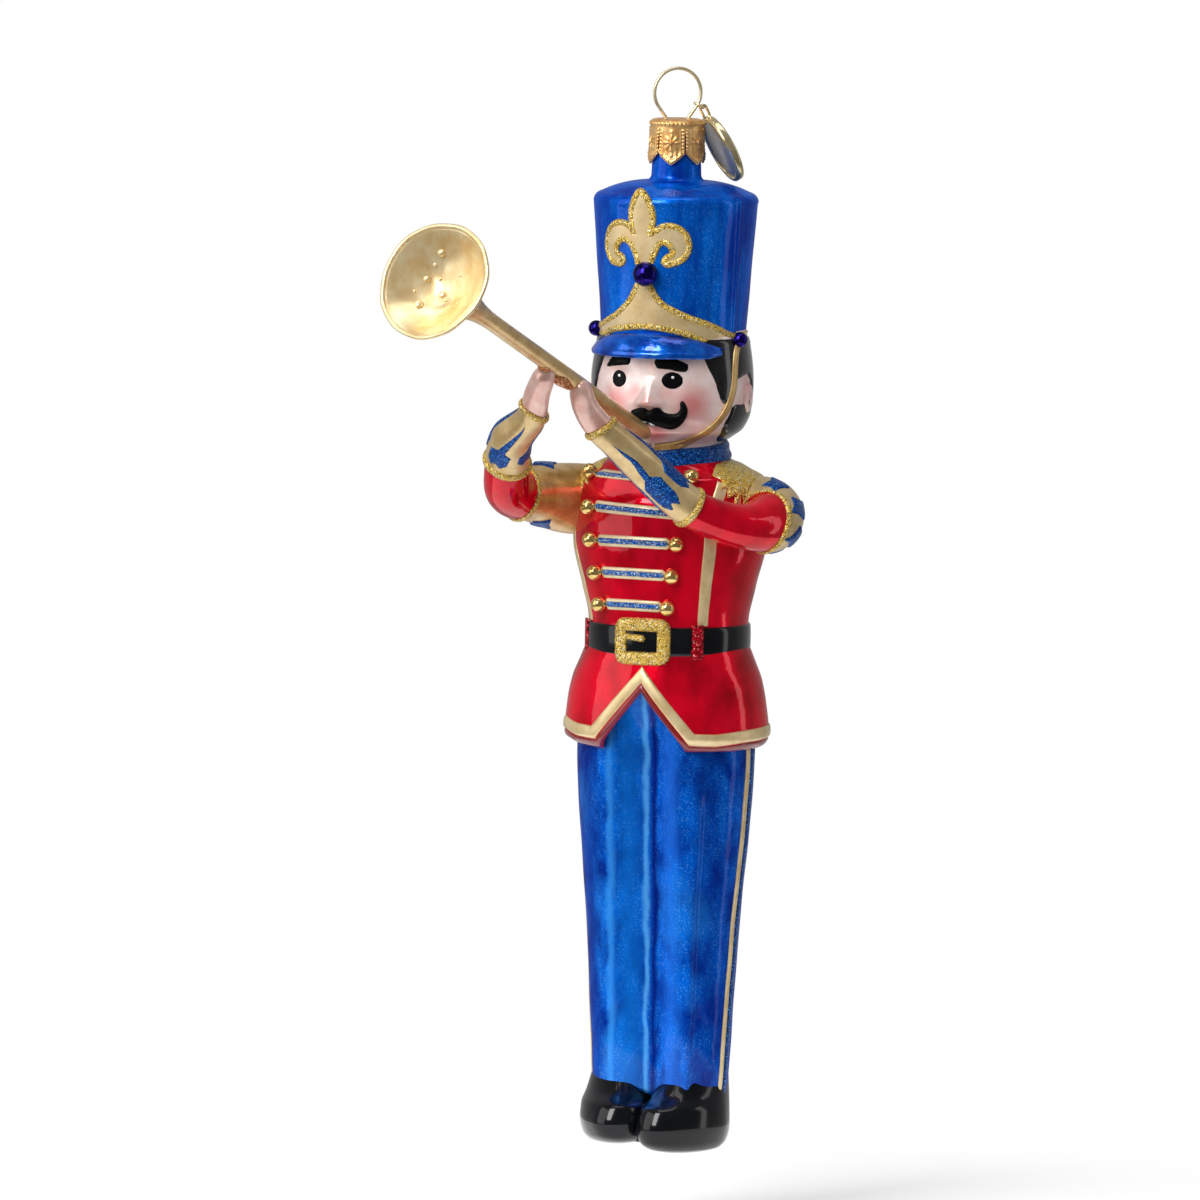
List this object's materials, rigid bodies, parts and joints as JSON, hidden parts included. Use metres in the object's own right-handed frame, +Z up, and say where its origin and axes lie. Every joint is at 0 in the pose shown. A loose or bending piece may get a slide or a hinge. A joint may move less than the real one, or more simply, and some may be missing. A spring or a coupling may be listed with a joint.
{
  "type": "hanging glass toy soldier ornament",
  "caption": "Blown glass toy soldier blowing a long trumpet, hung from a sprung wire loop in a stamped crown cap, with a plain round charm on the loop.",
  "frame": {"origin": "inside top of the hanging loop, where a hook or thread bears", "axes": "+Z up along the figure, -Y towards the front (the face and the trumpet's bell), +X to the viewer's right"},
  "size_m": [0.0565, 0.1093, 0.2064],
  "materials": {
    "pale_gold_wire": "bright pale gold plated wire",
    "embossed_gold_cap": "thin stamped sheet, warm gold",
    "charm_gold": "polished pale gold",
    "charm_silver": "satin silver inlay, left plain",
    "lacquered_glass": "opaque silvered glass under red, blue, black and pink lacquer with glitter",
    "lacquered_sleeve_glass": "opaque silvered glass under red and gold lacquer, pale pink hands",
    "gilded_glass": "opaque satin gold lacquer",
    "ink_blue_bead": "high gloss dark blue",
    "gilded_button": "mirror bright gold bead"
  },
  "bodies": {
    "hanger": {"hanger_wire": "pale_gold_wire"},
    "cap": {"crown_cap": "embossed_gold_cap"},
    "figure": {"glass_figure": "lacquered_glass", "right_arm": "lacquered_sleeve_glass", "left_arm": "lacquered_sleeve_glass", "trumpet": "gilded_glass", "front_bead": "ink_blue_bead", "right_bead": "ink_blue_bead", "left_bead": "ink_blue_bead", "button_1_right": "gilded_button", "button_1_left": "gilded_button", "button_2_right": "gilded_button", "button_2_left": "gilded_button", "button_3_right": "gilded_button", "button_3_left": "gilded_button", "button_4_right": "gilded_button", "button_4_left": "gilded_button", "button_5_right": "gilded_button", "button_5_left": "gilded_button"},
    "ring": {"jump_ring": "pale_gold_wire"},
    "charm": {"charm_frame": "charm_gold", "charm_plate": "charm_silver"}
  },
  "joints": [
    {"name": "clip_pull", "type": "slide", "parent": "hanger", "child": "cap", "axis": [0, 0, 1], "range_m": [-0.014, 0]},
    {"name": "cap_turn", "type": "hinge", "parent": "cap", "child": "figure", "pos_m": [0, 0, -0.0133], "axis": [0, 0, 1], "continuous": true},
    {"name": "ring_slide", "type": "hinge", "parent": "hanger", "child": "ring", "pos_m": [0, 0, -0.0043], "axis": [0.6157, -0.788, 0], "range_deg": [0, 235]},
    {"name": "charm_swing", "type": "hinge", "parent": "ring", "child": "charm", "pos_m": [0.00404, 0.00316, -0.00726], "axis": [0.6157, -0.788, 0], "range_deg": [0, 70]}
  ]
}
